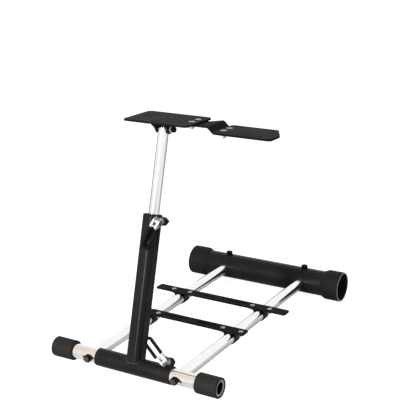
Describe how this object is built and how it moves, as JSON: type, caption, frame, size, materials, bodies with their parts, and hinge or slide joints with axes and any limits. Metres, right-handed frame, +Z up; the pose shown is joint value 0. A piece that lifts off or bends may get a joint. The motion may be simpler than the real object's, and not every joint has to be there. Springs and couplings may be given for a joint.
{
  "type": "racing wheel stand",
  "caption": "Folding floor stand with a leaning telescopic mast, a tilting wheel plate, a side shifter plate and slotted bars for pedals.",
  "frame": {"origin": "on the floor, at the middle of the stand's bounding box", "axes": "+Z up, +Y from the driver towards the pedals, +X to the driver's right"},
  "size_m": [0.5056, 0.7304, 0.5702],
  "materials": {
    "black_steel": "satin powder coat",
    "chrome": "polished",
    "rubber": "matte",
    "black_plastic": "fine grain",
    "zinc": "bright zinc"
  },
  "bodies": {
    "base": {"front_pedal_bar": "black_steel", "front_tube": "chrome", "left_front_bolt": "black_plastic", "left_front_foot": "rubber", "left_front_strap": "black_steel", "left_front_strap_bolts": "zinc", "left_rail": "chrome", "left_rear_bolt": "black_plastic", "left_rear_foot": "rubber", "left_rear_strap": "black_steel", "left_rear_strap_bolts": "zinc", "rear_pedal_bar": "black_steel", "rear_tube": "black_steel", "right_front_bolt": "black_plastic", "right_front_foot": "rubber", "right_front_strap": "black_steel", "right_front_strap_bolts": "zinc", "right_rail": "chrome", "right_rear_bolt": "black_plastic", "right_rear_foot": "rubber", "right_rear_strap": "black_steel", "right_rear_strap_bolts": "zinc"},
    "mast": {"pivot_sleeve": "black_steel", "mast_tube": "black_steel", "mast_bush": "black_plastic", "lower_clamp_bolt": "zinc", "lower_clamp_lugs": "black_steel", "lower_clamp_nut": "black_plastic", "lower_clamp_saddle": "zinc", "upper_clamp_bolt": "zinc", "upper_clamp_lugs": "black_steel", "upper_clamp_nut": "black_plastic", "upper_clamp_saddle": "zinc"},
    "post": {"height_post": "chrome", "tilt_bolt": "zinc", "tilt_nut": "zinc", "tilt_knob": "black_plastic"},
    "head": {"wheel_plate": "black_steel", "left_plate_ear": "black_steel", "right_plate_ear": "black_steel", "shifter_arm": "black_steel", "shifter_plate": "black_steel", "arm_bolts": "zinc", "shifter_plate_bolts": "zinc"},
    "lower_lever": {"lower_lever_fork": "zinc", "lower_lever_loop": "black_plastic", "lower_lever_pin": "zinc"},
    "upper_lever": {"upper_lever_fork": "zinc", "upper_lever_loop": "black_plastic", "upper_lever_pin": "zinc"}
  },
  "joints": [
    {"name": "mast_fold", "type": "hinge", "parent": "base", "child": "mast", "pos_m": [-0.02225, -0.33675, 0.0236], "axis": [1, 0, 0], "range_deg": [-56, 14]},
    {"name": "post_slide", "type": "slide", "parent": "mast", "child": "post", "axis": [0, 0.2368, 0.9715], "range_m": [-0.12, 0.1]},
    {"name": "plate_tilt", "type": "hinge", "parent": "post", "child": "head", "pos_m": [-0.02225, -0.2045, 0.54923], "axis": [-1, 0, 0], "range_deg": [-20, 20]},
    {"name": "lower_lever_swing", "type": "hinge", "parent": "mast", "child": "lower_lever", "pos_m": [0.06225, -0.34531, 0.05849], "axis": [0.592, 0.3406, 0.7304], "range_deg": [0, 105]},
    {"name": "upper_lever_swing", "type": "hinge", "parent": "mast", "child": "upper_lever", "pos_m": [0.00575, -0.27903, 0.35537], "axis": [-0.9511, 0.0732, 0.3002], "range_deg": [0, 105]}
  ]
}
